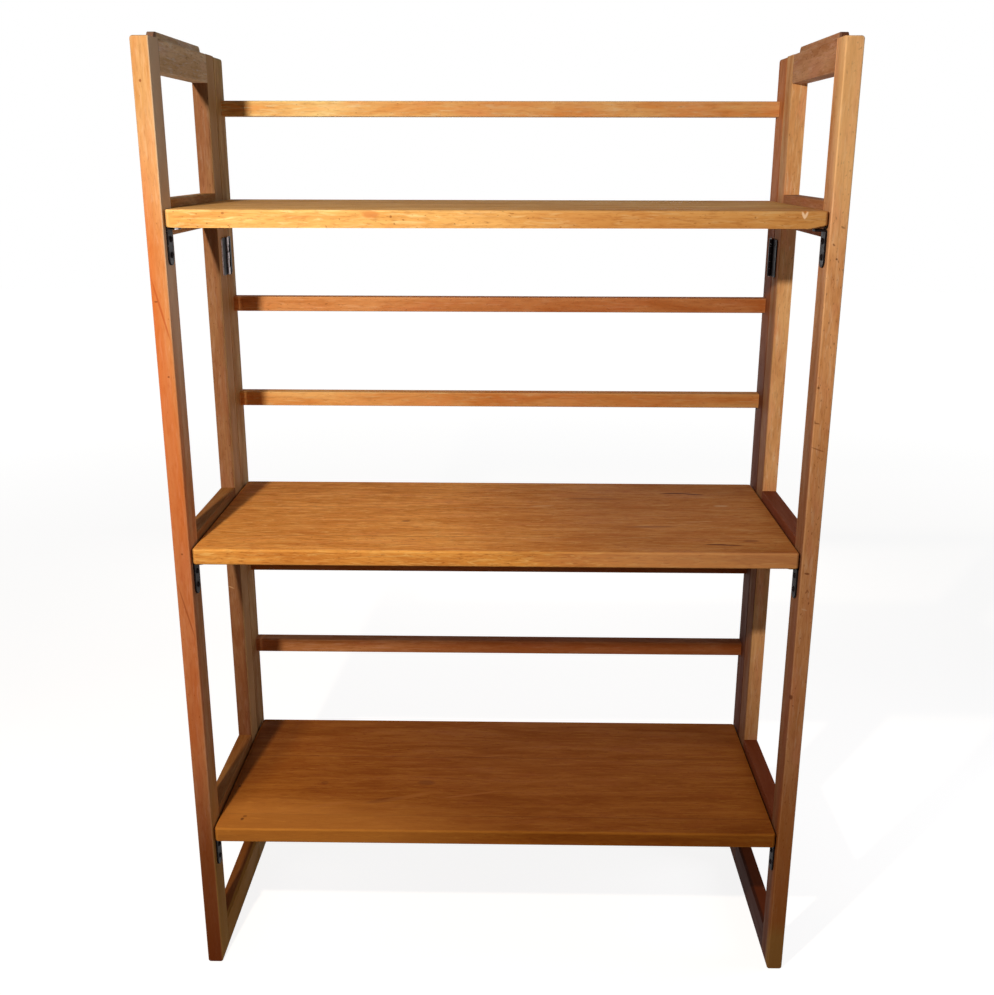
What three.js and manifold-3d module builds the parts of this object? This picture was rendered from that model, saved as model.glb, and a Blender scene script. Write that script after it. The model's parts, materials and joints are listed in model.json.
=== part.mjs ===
// Folding bookcase in beech: two ladder side frames, a slatted back frame and three lift-up shelves.
// Millimetres. +X is to the right, +Y to the back and +Z up, with the origin on the floor
// under the middle of the open bookcase. The shelves turn up on pins in the back stiles.

import * as THREE from 'three';
import { mergeVertices } from 'three/addons/utils/BufferGeometryUtils.js';
import Module from 'manifold-3d';

const wasm = await Module();
wasm.setup();

// Width of the open bookcase and the boards that it is made of
const bookcaseWidth = 700;
const boardThickness = 18;
const edgeRounding = 1.5;

// Heights of the open spaces between the shelves, from the floor up
const footSpaceHeight = 168;
const lowerBayHeight = 331;
const middleBayHeight = 341.5;
const topBayHeight = 161.5;

// Side frames: two stiles, five rails and the stacking tongue on the top rail
const sideFrameDepth = 243.5;
const sideStileDepth = 33;
const railHeight = 36;
const topRailHeight = 31;
const bottomRailLift = 2;
const tongueRise = 7;
const tongueThickness = 7;
const tongueEndGap = 3;
const tongueEndRadius = 6;
const tongueClearance = 0.75;

// Mortise and tenon joints of the side frames and the back frame
const tenonThickness = 6;
const tenonLength = 20;
const tenonShoulder = 6;
const slatTenonSide = 9;
const slatTenonLength = 11;
const jointClearance = 0.3;

// Shelves
const shelfEndGap = 1.5;
const shelfFrontSetback = 2;
const shelfCornerRadius = 4;
const shelfEdgeRounding = 2;

// Back frame slats, from the top down, each by the height of its middle as a share of its bay
const slatHeight = 18;
const slatThickness = 18;
const topBaySlatShares = [0.65];
const middleBaySlatShares = [0.682, 0.328];
const lowerBaySlatShares = [0.71, 0.35];

// Shelf pivots and the recess that the raised shelves stand in
const pivotDrop = 5;
const pivotPinRadius = 2;
const pivotPinInStile = 12;
const pivotPinInShelf = 20;
const pinClearance = 0.3;
const foldBackClearance = 1;
const foldFrontClearance = 3;
const frameJointGap = 0.5;

// Steel angle brackets that the shelf fronts rest on
const bracketWidth = 16;
const bracketHeight = 38;
const bracketLeg = 12;
const bracketThickness = 2;
const bracketSeatGap = 0.3;
const bracketLegRadius = 3;
const upperScrewDrop = 12;
const lowerScrewMargin = 10;

// Round head wood screws in the brackets
const screwHeadRadius = 3.2;
const screwHeadHeight = 1.8;
const screwShankRadius = 1.5;
const screwLength = 14;
const screwPointLength = 4;
const screwClearance = 0.3;
const screwSeatGap = 0.1;

// Butt hinges between the side frames and the back frame
const hingeHeight = 44;
const hingeLeafWidth = 21;
const hingeLeafThickness = 1.5;
const hingeBarrelRadius = 2.8;
const hingePinRadius = 1.3;
const hingePinProud = 1;
const hingePinClearance = 0.25;
const hingeKnuckleGap = 0.3;
const hingeKnuckleRoot = 1.5;
const hingeDrop = 25.5;
const hingeKnuckles = 5;

// One overrun for every cut, so that a cut never ends on the face that it opens
const cutOverrun = 1;

// Numbers of flat steps in round shapes
const cornerSteps = 3;
const bevelSteps = 2;
const holeSteps = 12;
const barrelSteps = 16;
const pinSteps = 12;

// Sizes that follow from the ones above
const half = 1 / 2;
const shelfThickness = boardThickness;
const slotWidth = bookcaseWidth - 2 * boardThickness;
const shelfWidth = slotWidth - 2 * shelfEndGap;
const backStileDepth = slatThickness + foldBackClearance + shelfThickness + foldFrontClearance;
const bookcaseDepth = sideFrameDepth + frameJointGap + backStileDepth;
const railLength = sideFrameDepth - 2 * sideStileDepth;

// Heights of the top faces of the shelves and of the stile tops
const lowerShelfHeight = footSpaceHeight + shelfThickness;
const middleShelfHeight = lowerShelfHeight + lowerBayHeight + shelfThickness;
const upperShelfHeight = middleShelfHeight + middleBayHeight + shelfThickness;
const stileHeight = upperShelfHeight + topBayHeight;

// Places of the main faces from front to back and from the middle outwards
const frontY = -half * bookcaseDepth;
const backY = half * bookcaseDepth;
const sideFrameBackY = frontY + sideFrameDepth;
const backFrameFrontY = sideFrameBackY + frameJointGap;
const slatFrontY = backY - slatThickness;
const pivotY = slatFrontY - foldBackClearance - pivotDrop;
const shelfFrontY = frontY + shelfFrontSetback;
const shelfRearY = pivotY + shelfThickness - pivotDrop;
const innerFaceX = half * slotWidth;
const stileMiddleX = innerFaceX + half * boardThickness;

// Colours and finishes
const beech = finish('#c98a4e', 0.5, 0);
const beechRail = finish('#b87a42', 0.5, 0);
const beechSlat = finish('#c98448', 0.5, 0);
const beechShelf = finish('#b9793c', 0.45, 0);
const blackedSteel = finish('#1e1a1c', 0.4, 0.9);
const brightSteel = finish('#a9a6a8', 0.3, 1);

function finish(color, roughness, metalness) {
  return new THREE.MeshStandardMaterial({ color, roughness, metalness, flatShading: true });
}

// Turn a closed three.js geometry into a solid that can be cut and joined
function toSolid(geometry) {
  const bare = geometry.clone();
  bare.deleteAttribute('normal');
  bare.deleteAttribute('uv');
  const merged = mergeVertices(bare);
  const mesh = new wasm.Mesh({
    numProp: 3,
    vertProperties: new Float32Array(merged.attributes.position.array),
    triVerts: new Uint32Array(merged.index.array),
  });
  return new wasm.Manifold(mesh);
}

// Turn a solid back into a three.js geometry
function toGeometry(solid) {
  const mesh = solid.getMesh();
  const geometry = new THREE.BufferGeometry();
  geometry.setAttribute('position', new THREE.BufferAttribute(new Float32Array(mesh.vertProperties), 3));
  geometry.setIndex(new THREE.BufferAttribute(new Uint32Array(mesh.triVerts), 1));
  geometry.computeVertexNormals();
  return geometry;
}

// Solid made of a base with other geometries joined on and cut away
function shape(base, joined, cut) {
  let solid = toSolid(base);
  for (const geometry of joined) {
    solid = solid.add(toSolid(geometry));
  }
  for (const geometry of cut) {
    solid = solid.subtract(toSolid(geometry));
  }
  return toGeometry(solid);
}

// Rectangle with round corners, centred on the origin
function roundedRectangle(width, height, radius) {
  const x = half * width;
  const y = half * height;
  const outline = new THREE.Shape();
  outline.moveTo(x - radius, -y);
  outline.absarc(x - radius, radius - y, radius, -half * Math.PI, 0, false);
  outline.absarc(x - radius, y - radius, radius, 0, half * Math.PI, false);
  outline.absarc(radius - x, y - radius, radius, half * Math.PI, Math.PI, false);
  outline.absarc(radius - x, radius - y, radius, Math.PI, 1.5 * Math.PI, false);
  return outline;
}

// Board with its four long edges rounded, centred on the origin, with its length along one axis
function board(sizeX, sizeY, sizeZ, axis) {
  const sizes = { x: [sizeZ, sizeY, sizeX], y: [sizeX, sizeZ, sizeY], z: [sizeX, sizeY, sizeZ] };
  const [width, height, length] = sizes[axis];
  const options = { depth: length, bevelEnabled: false, curveSegments: cornerSteps };
  const geometry = new THREE.ExtrudeGeometry(roundedRectangle(width, height, edgeRounding), options);
  geometry.translate(0, 0, -half * length);
  if (axis === 'x') {
    geometry.rotateY(half * Math.PI);
  }
  if (axis === 'y') {
    geometry.rotateX(half * Math.PI);
  }
  return geometry;
}

// Square-edged block centred on a point
function block(sizeX, sizeY, sizeZ, x, y, z) {
  return new THREE.BoxGeometry(sizeX, sizeY, sizeZ).translate(x, y, z);
}

// Round bar along X or Z, centred on a point
function roundBar(radius, length, axis, steps, x, y, z) {
  const geometry = new THREE.CylinderGeometry(radius, radius, length, steps);
  if (axis === 'x') {
    geometry.rotateZ(half * Math.PI);
  } else {
    geometry.rotateX(half * Math.PI);
  }
  return geometry.translate(x, y, z);
}

// Add a named piece to a group at a place in the bookcase
function place(group, name, geometry, material, x, y, z) {
  const mesh = new THREE.Mesh(geometry, material);
  mesh.name = name;
  mesh.position.set(x, y, z);
  group.add(mesh);
}

const bookcase = new THREE.Group();
const sides = [
  { name: 'left', sign: -1 },
  { name: 'right', sign: 1 },
];
const shelves = [
  { name: 'upper', height: upperShelfHeight, bay: topBayHeight, slatShares: topBaySlatShares },
  { name: 'middle', height: middleShelfHeight, bay: middleBayHeight, slatShares: middleBaySlatShares },
  { name: 'lower', height: lowerShelfHeight, bay: lowerBayHeight, slatShares: lowerBaySlatShares },
];

// Rails of a side frame, each by its lower edge and height
const rails = [
  { name: 'top_rail', bottom: stileHeight - topRailHeight, height: topRailHeight },
];
for (const shelf of shelves) {
  const middle = shelf.height - half * shelfThickness;
  rails.push({ name: `${shelf.name}_rail`, bottom: middle - half * railHeight, height: railHeight });
}
rails.push({ name: 'bottom_rail', bottom: bottomRailLift, height: railHeight });

// Screws of one bracket, by how far they lie below the underside of the shelf
const screwDrops = [upperScrewDrop, bracketHeight - lowerScrewMargin];

// Side stiles, mortised for the rails, with the front ones drilled for the bracket screws
function sideStile(isFront, sign) {
  const towardsRails = isFront ? 1 : -1;
  const cuts = [];
  for (const rail of rails) {
    const deep = tenonLength + jointClearance;
    const y = towardsRails * (half * sideStileDepth - half * (deep - cutOverrun));
    const tall = rail.height - 2 * tenonShoulder + 2 * jointClearance;
    const wide = tenonThickness + 2 * jointClearance;
    const z = rail.bottom + half * rail.height - half * stileHeight;
    cuts.push(block(wide, deep + cutOverrun, tall, 0, y, z));
  }
  if (isFront) {
    const deep = screwLength - bracketThickness + screwClearance;
    const x = -sign * (half * boardThickness - half * (deep - cutOverrun));
    for (const shelf of shelves) {
      for (const drop of screwDrops) {
        const z = shelf.height - shelfThickness - drop - half * stileHeight;
        const radius = screwShankRadius + screwClearance;
        cuts.push(roundBar(radius, deep + cutOverrun, 'x', holeSteps, x, 0, z));
      }
    }
  }
  return shape(board(boardThickness, sideStileDepth, stileHeight, 'z'), [], cuts);
}

// Rail of a side frame, with a tenon at each end
function sideRail(rail) {
  const tall = rail.height - 2 * tenonShoulder;
  const joined = [block(tenonThickness, railLength + 2 * tenonLength, tall, 0, 0, 0)];
  const cuts = [];
  if (rail.name === 'top_rail') {
    joined.push(stackingTongue(rail.height));
  }
  if (rail.name === 'bottom_rail') {
    const wide = tongueThickness + 2 * tongueClearance;
    const deep = tongueRise + tongueClearance - bottomRailLift;
    const z = -half * rail.height + half * (deep - cutOverrun);
    const long = railLength - 2 * (tongueEndGap - tongueClearance);
    cuts.push(block(wide, long, deep + cutOverrun, 0, 0, z));
  }
  return shape(board(boardThickness, railLength, rail.height, 'y'), joined, cuts);
}

// Tongue along the top rail, which enters the groove under a bookcase stacked on this one
function stackingTongue(height) {
  const end = half * railLength - tongueEndGap;
  const top = half * height + tongueRise;
  const root = half * height - tenonShoulder;
  const radius = tongueEndRadius;
  const outline = new THREE.Shape();
  outline.moveTo(-end, root);
  outline.lineTo(end, root);
  outline.absarc(end - radius, top - radius, radius, 0, half * Math.PI, false);
  outline.absarc(radius - end, top - radius, radius, half * Math.PI, Math.PI, false);
  const options = { depth: tongueThickness, bevelEnabled: false, curveSegments: cornerSteps };
  const tongue = new THREE.ExtrudeGeometry(outline, options);
  tongue.translate(0, 0, -half * tongueThickness);
  tongue.rotateY(half * Math.PI);
  tongue.rotateX(half * Math.PI);
  return tongue;
}

for (const side of sides) {
  const frame = new THREE.Group();
  const x = side.sign * stileMiddleX;
  const z = half * stileHeight;
  const frontStileY = frontY + half * sideStileDepth;
  const rearStileY = sideFrameBackY - half * sideStileDepth;
  place(frame, `${side.name}_front_stile`, sideStile(true, side.sign), beech, x, frontStileY, z);
  place(frame, `${side.name}_rear_stile`, sideStile(false, side.sign), beech, x, rearStileY, z);
  for (const rail of rails) {
    const railY = half * (frontStileY + rearStileY);
    const railZ = rail.bottom + half * rail.height;
    place(frame, `${side.name}_${rail.name}`, sideRail(rail), beechRail, x, railY, railZ);
  }
  bookcase.add(frame);
}

// Slats of the back frame, from the top down, by the height of their middles
const slatHeights = shelves.flatMap((shelf) => {
  return shelf.slatShares.map((share) => shelf.height + share * shelf.bay);
});

// Back stile, mortised for the slats and drilled for the shelf pivots
function backStile(sign) {
  const middleY = half * (backFrameFrontY + backY);
  const cuts = [];
  for (const height of slatHeights) {
    const deep = slatTenonLength + jointClearance;
    const side = slatTenonSide + 2 * jointClearance;
    const x = -sign * (half * boardThickness - half * (deep - cutOverrun));
    const y = half * (slatFrontY + backY) - middleY;
    cuts.push(block(deep + cutOverrun, side, side, x, y, height - half * stileHeight));
  }
  for (const shelf of shelves) {
    const deep = pivotPinInStile + pinClearance;
    const x = -sign * (half * boardThickness - half * (deep - cutOverrun));
    const z = shelf.height - pivotDrop - half * stileHeight;
    const radius = pivotPinRadius + pinClearance;
    cuts.push(roundBar(radius, deep + cutOverrun, 'x', holeSteps, x, pivotY - middleY, z));
  }
  return shape(board(boardThickness, backStileDepth, stileHeight, 'z'), [], cuts);
}

const backFrame = new THREE.Group();
for (const side of sides) {
  const x = side.sign * stileMiddleX;
  const y = half * (backFrameFrontY + backY);
  place(backFrame, `${side.name}_back_stile`, backStile(side.sign), beech, x, y, half * stileHeight);
}
slatHeights.forEach((height, index) => {
  const tenon = block(slotWidth + 2 * slatTenonLength, slatTenonSide, slatTenonSide, 0, 0, 0);
  const slat = shape(board(slotWidth, slatThickness, slatHeight, 'x'), [tenon], []);
  place(backFrame, `back_slat_${index + 1}`, slat, beechSlat, 0, half * (slatFrontY + backY), height);
});
bookcase.add(backFrame);

// Shelf board with all its edges eased and a bore for the pivot pin in each end
function shelfBoard() {
  const depth = shelfRearY - shelfFrontY;
  const ease = shelfEdgeRounding;
  const outline = roundedRectangle(shelfWidth - 2 * ease, depth - 2 * ease, shelfCornerRadius - ease);
  const options = {
    depth: shelfThickness - 2 * ease,
    bevelEnabled: true,
    bevelSize: ease,
    bevelThickness: ease,
    bevelSegments: bevelSteps,
    curveSegments: cornerSteps,
  };
  const geometry = new THREE.ExtrudeGeometry(outline, options);
  geometry.translate(0, 0, ease - half * shelfThickness);
  const deep = pivotPinInShelf + pinClearance;
  const boreX = half * shelfWidth - half * (deep - cutOverrun);
  const boreY = pivotY - half * (shelfFrontY + shelfRearY);
  const boreZ = half * shelfThickness - pivotDrop;
  const radius = pivotPinRadius + pinClearance;
  const cuts = sides.map((side) => {
    return roundBar(radius, deep + cutOverrun, 'x', holeSteps, side.sign * boreX, boreY, boreZ);
  });
  return shape(geometry, [], cuts);
}

for (const shelf of shelves) {
  const y = half * (shelfFrontY + shelfRearY);
  const z = shelf.height - half * shelfThickness;
  place(bookcase, `${shelf.name}_shelf`, shelfBoard(), beechShelf, 0, y, z);
}

// Steel pins that the shelves turn on, pressed into the back stiles
const pivotPinLength = pivotPinInStile + shelfEndGap + pivotPinInShelf;
for (const shelf of shelves) {
  for (const side of sides) {
    const x = side.sign * (innerFaceX + pivotPinInStile - half * pivotPinLength);
    const z = shelf.height - pivotDrop;
    const pin = roundBar(pivotPinRadius, pivotPinLength, 'x', pinSteps, 0, 0, 0);
    place(bookcase, `${shelf.name}_${side.name}_pivot_pin`, pin, brightSteel, x, pivotY, z);
  }
}

// Angle bracket: a round-ended plate on the stile with a short leg under the shelf
function angleBracket(sign) {
  const radius = half * bracketWidth;
  const plateOutline = new THREE.Shape();
  plateOutline.moveTo(radius, 0);
  plateOutline.lineTo(-radius, 0);
  plateOutline.absarc(0, radius - bracketHeight, radius, -Math.PI, 0, false);
  const plateOptions = { depth: bracketThickness, bevelEnabled: false, curveSegments: 2 * cornerSteps };
  const plate = new THREE.ExtrudeGeometry(plateOutline, plateOptions);
  plate.rotateX(half * Math.PI);
  plate.rotateZ(half * Math.PI);
  plate.translate(sign < 0 ? 0 : -bracketThickness, 0, 0);

  const legX = bracketLeg - bracketLegRadius;
  const legY = radius - bracketLegRadius;
  const legOutline = new THREE.Shape();
  legOutline.moveTo(0, -radius);
  legOutline.absarc(legX, -legY, bracketLegRadius, -half * Math.PI, 0, false);
  legOutline.absarc(legX, legY, bracketLegRadius, 0, half * Math.PI, false);
  legOutline.lineTo(0, radius);
  const legOptions = { depth: bracketThickness, bevelEnabled: false, curveSegments: cornerSteps };
  const leg = new THREE.ExtrudeGeometry(legOutline, legOptions);
  leg.translate(0, 0, -bracketThickness);
  if (sign > 0) {
    leg.rotateZ(Math.PI);
  }

  const holes = screwDrops.map((drop) => {
    const x = -sign * half * bracketThickness;
    const z = bracketSeatGap - drop;
    const long = bracketThickness + 2 * cutOverrun;
    return roundBar(screwShankRadius + screwClearance, long, 'x', holeSteps, x, 0, z);
  });
  return shape(plate, [leg], holes);
}

// Round head wood screw pointing along +X, with its head seat at the origin
function woodScrew() {
  const headEdge = half * screwHeadHeight;
  const profile = [
    new THREE.Vector2(0, -screwLength),
    new THREE.Vector2(screwShankRadius, screwPointLength - screwLength),
    new THREE.Vector2(screwShankRadius, 0),
    new THREE.Vector2(screwHeadRadius, 0),
    new THREE.Vector2(screwHeadRadius, headEdge),
    new THREE.Vector2(half * screwHeadRadius, screwHeadHeight),
    new THREE.Vector2(0, screwHeadHeight),
  ];
  const screw = new THREE.LatheGeometry(profile, holeSteps);
  screw.rotateZ(half * Math.PI);
  return toGeometry(toSolid(screw));
}

for (const shelf of shelves) {
  for (const side of sides) {
    const name = `${shelf.name}_${side.name}_bracket`;
    const plateX = side.sign * innerFaceX;
    const y = frontY + half * sideStileDepth;
    const seat = shelf.height - shelfThickness;
    place(bookcase, name, angleBracket(side.sign), blackedSteel, plateX, y, seat - bracketSeatGap);
    screwDrops.forEach((drop, index) => {
      const screw = woodScrew();
      if (side.sign < 0) {
        screw.rotateZ(Math.PI);
      }
      const x = side.sign * (innerFaceX - bracketThickness - screwSeatGap);
      place(bookcase, `${name}_screw_${index + 1}`, screw, blackedSteel, x, y, seat - drop);
    });
  }
}

// Hinge leaf on the inner face of a stile, with every other knuckle of the barrel
function hingeLeaf(sign, towardsBack, firstKnuckle) {
  const pitch = hingeHeight / hingeKnuckles;
  const reach = hingeBarrelRadius + hingeKnuckleGap;
  const plateX = -sign * half * hingeLeafThickness;
  const plateDepth = hingeLeafWidth - reach;
  const plateY = towardsBack * (reach + half * plateDepth);
  const plate = block(hingeLeafThickness, plateDepth, hingeHeight, plateX, plateY, 0);
  const axisX = -sign * hingeBarrelRadius;
  const tang = reach + hingeKnuckleRoot;
  const joined = [];
  for (let index = firstKnuckle; index < hingeKnuckles; index += 2) {
    const z = (index + half) * pitch - half * hingeHeight;
    const tall = pitch - hingeKnuckleGap;
    joined.push(block(hingeLeafThickness, tang, tall, plateX, towardsBack * half * tang, z));
    joined.push(roundBar(hingeBarrelRadius, tall, 'z', barrelSteps, axisX, 0, z));
  }
  const boreRadius = hingePinRadius + hingePinClearance;
  const bore = roundBar(boreRadius, hingeHeight + 2 * cutOverrun, 'z', holeSteps, axisX, 0, 0);
  return shape(plate, joined, [bore]);
}

// One hinge below the upper shelf and one below the lower shelf on each side
const hingeY = half * (sideFrameBackY + backFrameFrontY);
for (const shelf of [shelves[0], shelves[2]]) {
  for (const side of sides) {
    const name = `${shelf.name}_${side.name}_hinge`;
    const z = shelf.height - shelfThickness - hingeDrop - half * hingeHeight;
    const x = side.sign * innerFaceX;
    const pin = roundBar(hingePinRadius, hingeHeight + 2 * hingePinProud, 'z', pinSteps, 0, 0, 0);
    place(bookcase, `${name}_frame_leaf`, hingeLeaf(side.sign, -1, 0), blackedSteel, x, hingeY, z);
    place(bookcase, `${name}_back_leaf`, hingeLeaf(side.sign, 1, 1), blackedSteel, x, hingeY, z);
    place(bookcase, `${name}_pin`, pin, brightSteel, x - side.sign * hingeBarrelRadius, hingeY, z);
  }
}

export default bookcase;
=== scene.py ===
import json
import math

import bmesh
import bpy
from mathutils import Matrix, Vector

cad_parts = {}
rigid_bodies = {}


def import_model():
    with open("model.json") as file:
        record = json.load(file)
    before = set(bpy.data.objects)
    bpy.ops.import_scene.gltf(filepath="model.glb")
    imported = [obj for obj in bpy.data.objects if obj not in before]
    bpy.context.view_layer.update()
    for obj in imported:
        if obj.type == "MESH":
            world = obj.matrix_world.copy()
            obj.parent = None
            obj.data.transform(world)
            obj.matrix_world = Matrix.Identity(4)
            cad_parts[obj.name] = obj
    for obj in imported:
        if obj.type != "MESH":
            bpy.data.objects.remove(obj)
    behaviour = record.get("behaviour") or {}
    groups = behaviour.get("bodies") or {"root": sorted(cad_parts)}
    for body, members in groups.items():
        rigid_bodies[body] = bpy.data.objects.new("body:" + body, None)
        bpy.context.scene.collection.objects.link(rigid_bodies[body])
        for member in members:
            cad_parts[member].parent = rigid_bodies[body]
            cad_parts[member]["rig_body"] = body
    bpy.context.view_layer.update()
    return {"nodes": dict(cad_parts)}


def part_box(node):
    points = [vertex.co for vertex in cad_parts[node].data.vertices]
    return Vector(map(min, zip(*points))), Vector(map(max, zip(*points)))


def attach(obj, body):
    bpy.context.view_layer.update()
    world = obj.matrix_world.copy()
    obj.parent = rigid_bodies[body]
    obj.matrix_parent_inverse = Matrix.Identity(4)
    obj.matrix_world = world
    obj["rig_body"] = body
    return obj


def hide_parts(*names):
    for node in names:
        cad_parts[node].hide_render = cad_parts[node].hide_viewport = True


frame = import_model()

# Side frame stiles
# Four stiles of planed beech, 18 by 33 mm, oiled and turned honey brown with age. Their edges are
# eased with sandpaper. Each is mortised for the five rails of its side frame, and drilled for the
# screws of its brackets or hinges.
MM = 0.001
X, Y, Z = 0, 1, 2
SIDES = {"left": -1, "right": 1}
SHELF_LEVELS = ("upper", "middle", "lower")
HINGE_LEVELS = ("upper", "lower")
RAILS = ("top_rail", "upper_rail", "middle_rail", "lower_rail", "bottom_rail")
END_ROUND = 3 * MM
OUTER_EASE = 1.6 * MM
INNER_EASE = 0.6 * MM
EASE_STEPS = 3
TENON_THICKNESS = 6 * MM
TENON_SHOULDER = 6 * MM
JOINT_CLEARANCE = 0.3 * MM
CUT_OVERRUN = 1 * MM
SAME_PLACE = 0.01 * MM
STRAIGHT = 0.999
SHARP_ANGLE = math.radians(50)
PILOT_RADIUS = 1.75 * MM
PILOT_DEPTH = 15 * MM
BORE_STEPS = 24
BRACKET_SCREWS = (1, 2)
# Each hinge screw by its reach in from the leaf's outer edge and its rise above the leaf's middle
HINGE_SCREWS = ((10 * MM, -15 * MM), (7 * MM, 0), (10 * MM, 15 * MM))


def new_mesh():
    """An empty bmesh with the layer that tells worn and highlit edges from flat faces."""
    mesh = bmesh.new()
    mesh.faces.layers.float.new("worn_and_highlit_edge")
    return mesh


def add_block(mesh, corner, opposite):
    """Adds a square-edged block between two opposite corners."""
    corner, opposite = Vector(corner), Vector(opposite)
    made = bmesh.ops.create_cube(mesh, size=1)["verts"]
    bmesh.ops.scale(mesh, vec=[abs(part) for part in opposite - corner], verts=made)
    bmesh.ops.translate(mesh, vec=(corner + opposite) / 2, verts=made)
    return made


def add_bar(mesh, middle, radius, length):
    """Adds a round bar along X."""
    bmesh.ops.create_cone(
        mesh, cap_ends=True, segments=BORE_STEPS, radius1=radius, radius2=radius, depth=length,
        matrix=Matrix.Translation(middle) @ Matrix.Rotation(math.pi / 2, 4, "Y"),
    )


def middle_of(node):
    """The middle of a node's box."""
    low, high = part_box(node)
    return (low + high) / 2


def drill(cuts, inner_x, sign, y, z):
    """Adds a screw's pilot hole, from a stile's inner face, to the shapes that are cut out of it."""
    start_x = inner_x - sign * CUT_OVERRUN
    end_x = inner_x + sign * PILOT_DEPTH
    add_bar(cuts, ((start_x + end_x) / 2, y, z), PILOT_RADIUS, abs(end_x - start_x))


def hinge_screw_places(level, side, leaf):
    """Y and Z of the screws of a hinge leaf."""
    low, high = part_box(f"{level}_{side}_hinge_{leaf}")
    edge_y, inward = (low.y, 1) if leaf == "frame_leaf" else (high.y, -1)
    return [(edge_y + inward * reach, (low.z + high.z) / 2 + rise) for reach, rise in HINGE_SCREWS]


def is_at(point, places):
    """True if a point lies at some places, given by axis."""
    return all(abs(point[axis] - place) < SAME_PLACE for axis, place in places.items())


def edges_along(mesh, axis, places=None):
    """Edges that run along an axis, at given places along the other axes."""
    return [
        e for e in mesh.edges
        if abs((e.verts[0].co - e.verts[1].co).normalized()[axis]) > STRAIGHT
        and is_at(e.verts[0].co, places or {})
    ]


def edges_in_plane(mesh, axis, place):
    """Edges that lie in the plane at a place along an axis."""
    return [e for e in mesh.edges if all(is_at(v.co, {axis: place}) for v in e.verts)]


def round_off(mesh, edges, radius, steps, clamp=False):
    """Rounds edges, and returns the new faces."""
    return bmesh.ops.bevel(
        mesh, geom=edges, offset=radius, offset_type="OFFSET", segments=steps,
        profile=0.5, affect="EDGES", clamp_overlap=clamp, material=-1,
    )["faces"]


def ease(mesh, edges, radius, steps=EASE_STEPS):
    """Rounds edges as sandpaper does, and marks the new faces as worn and highlit ones."""
    worn_and_highlit = mesh.faces.layers.float["worn_and_highlit_edge"]
    for face in round_off(mesh, edges, radius, steps, clamp=True):
        face[worn_and_highlit] = 1


def place_object(name, data):
    """Puts an object with a mesh, a lamp or a camera in the scene. A bmesh is turned into a mesh."""
    if isinstance(data, bmesh.types.BMesh):
        shape, data = data, bpy.data.meshes.new(name)
        shape.to_mesh(data)
        shape.free()
    placed = bpy.data.objects.new(name, data)
    bpy.context.scene.collection.objects.link(placed)
    return placed


def make_piece(name, mesh, material):
    """Turns a bmesh into a piece, with its faces pointing out."""
    bmesh.ops.recalc_face_normals(mesh, faces=mesh.faces)
    piece = place_object(name, mesh)
    piece.data.materials.append(material)
    return piece


def cut_away(piece, cutter_mesh):
    """Cuts a shape out of a piece, as a drill or a chisel does."""
    cutter = place_object("cutter", cutter_mesh)
    cut = piece.modifiers.new("cut", "BOOLEAN")
    cut.operation = "DIFFERENCE"
    cut.solver = "EXACT"
    cut.object = cutter
    whole = piece.data
    shaped = piece.evaluated_get(bpy.context.evaluated_depsgraph_get())
    piece.data = bpy.data.meshes.new_from_object(shaped)
    piece.modifiers.clear()
    # The cutter's object goes with its mesh
    for spent in (whole, cutter.data):
        bpy.data.meshes.remove(spent)
    piece.data.name = piece.name


def smooth(piece):
    """Shades a piece smooth over its eased edges and keeps its flat faces flat."""
    piece.data.shade_smooth()
    piece.data.set_sharp_from_angle(angle=SHARP_ANGLE)
    weighted = piece.modifiers.new("flat faces", "WEIGHTED_NORMAL")
    weighted.keep_sharp = True


def fit(piece, body, node):
    """Smooths a piece and fits it to its body, in the place of its node if it has one."""
    smooth(piece)
    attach(piece, body)
    if node:
        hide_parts(node)


def linear(colour):
    """An sRGB hex colour as linear RGBA."""
    parts = [int(colour[start:start + 2], 16) / 255 for start in (1, 3, 5)]
    return [p / 12.92 if p <= 0.04045 else ((p + 0.055) / 1.055) ** 2.4 for p in parts] + [1]


def tinted(colour, tint):
    """An sRGB hex colour as linear RGBA, darkened or made paler by a factor for each channel."""
    return [min(part * factor, 1) for part, factor in zip(linear(colour), (*tint, 1))]


def new_material(name):
    """An empty material and its node tree."""
    material = bpy.data.materials.new(name)
    material.use_nodes = True
    material.node_tree.nodes.clear()
    return material, material.node_tree


def add(tree, kind, settings=(), values=(), links=()):
    """Adds a shader node of a kind. A link comes from a socket, or from a node's first output."""
    node = tree.nodes.new(f"ShaderNode{kind}")
    for name, value in dict(settings).items():
        setattr(node, name, value)
    for name, value in dict(values).items():
        node.inputs[name].default_value = value
    for name, source in dict(links).items():
        socket = source.outputs[0] if hasattr(source, "outputs") else source
        tree.links.new(socket, node.inputs[name])
    return node
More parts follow.
